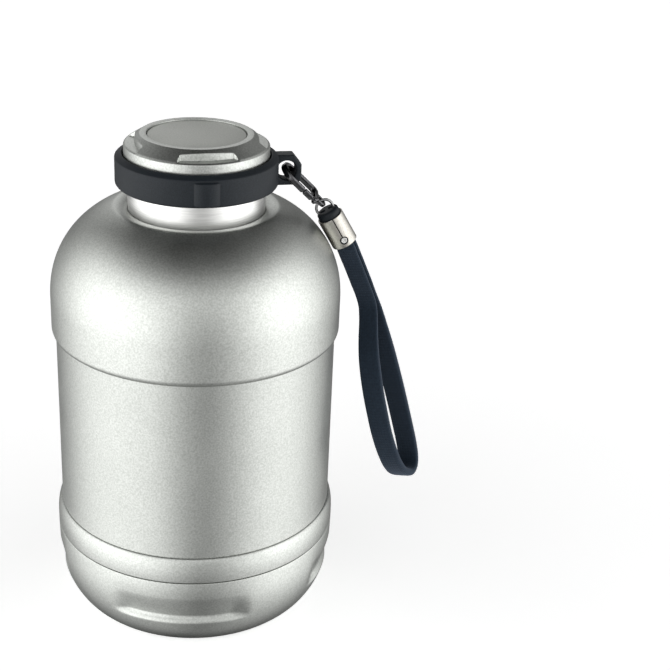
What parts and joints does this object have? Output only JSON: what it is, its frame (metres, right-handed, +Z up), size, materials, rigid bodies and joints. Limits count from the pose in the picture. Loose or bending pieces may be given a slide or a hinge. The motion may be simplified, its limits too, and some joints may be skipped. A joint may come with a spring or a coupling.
{
  "type": "insulated water jug",
  "caption": "Large double-walled steel water jug with a screw lid, a swivelling carry ring and a clip-on wrist strap.",
  "frame": {"origin": "on the jug's axis, on the surface that it stands on", "axes": "+Z up along the jug's axis, +X towards the carry ring's lug"},
  "size_m": [0.1837, 0.134, 0.234],
  "materials": {
    "silver_paint": "satin metallic",
    "bright_steel": "satin",
    "liner_steel": "electropolished",
    "grey_satin": "satin",
    "black_plastic": "fine matte",
    "foam": "foam",
    "silicone": "translucent matte",
    "black_rubber": "matte",
    "gunmetal": "polished black nickel",
    "spring_steel": "bright",
    "brushed_nickel": "brushed",
    "navy_webbing": "soft woven"
  },
  "bodies": {
    "jug": {"outer_shell": "silver_paint", "base_cup": "silver_paint", "base_pad": "black_rubber", "inner_flask": "liner_steel", "neck_collar": "bright_steel", "getter": "spring_steel", "vacuum_seal_disc": "liner_steel"},
    "gasket": {"lid_gasket": "silicone"},
    "lid": {"lid_shell": "silver_paint", "lid_top_disc": "grey_satin", "lid_plug": "black_plastic", "lid_foam": "foam"},
    "ring": {"carry_ring": "black_plastic"},
    "clasp": {"clasp_body": "gunmetal", "gate_pin": "spring_steel", "gate_spring": "spring_steel"},
    "gate": {"clasp_gate": "gunmetal"},
    "link": {"jump_ring": "spring_steel"},
    "strap": {"cord_end_cap": "black_plastic", "ferrule": "brushed_nickel", "ferrule_screw": "bright_steel", "wrist_strap": "navy_webbing"}
  },
  "joints": [
    {"name": "lid_rise", "type": "slide", "parent": "jug", "child": "gasket", "axis": [0, 0, 1], "range_m": [0, 0.0601]},
    {"name": "lid_turn", "type": "hinge", "parent": "gasket", "child": "lid", "pos_m": [0, 0, 0.225], "axis": [0, 0, 1], "range_deg": [0, 1800]},
    {"name": "ring_swivel", "type": "hinge", "parent": "jug", "child": "ring", "pos_m": [0, 0, 0.2175], "axis": [0, 0, 1], "continuous": true},
    {"name": "clasp_swing", "type": "hinge", "parent": "ring", "child": "clasp", "pos_m": [0.0402, 0, 0.2168], "axis": [0, 1, 0], "range_deg": [-110, 0]},
    {"name": "gate_open", "type": "hinge", "parent": "clasp", "child": "gate", "pos_m": [0.05349, -0.00513, 0.20221], "axis": [-0.6856, 0.2079, -0.6977], "range_deg": [0, 22], "stiffness_Nm_per_rad": 0.002, "springref_deg": -11.46},
    {"name": "link_swing", "type": "hinge", "parent": "clasp", "child": "link", "pos_m": [0.05682, 0, 0.20047], "axis": [0, 1, 0], "range_deg": [-20, 0]},
    {"name": "strap_swing", "type": "hinge", "parent": "link", "child": "strap", "pos_m": [0.06129, 0, 0.19408], "axis": [0, 1, 0], "range_deg": [-20, 0]}
  ],
  "couplings": [
    {"joint": "lid_rise", "follows": "lid_turn", "m_per_rad": 0.0019099}
  ]
}
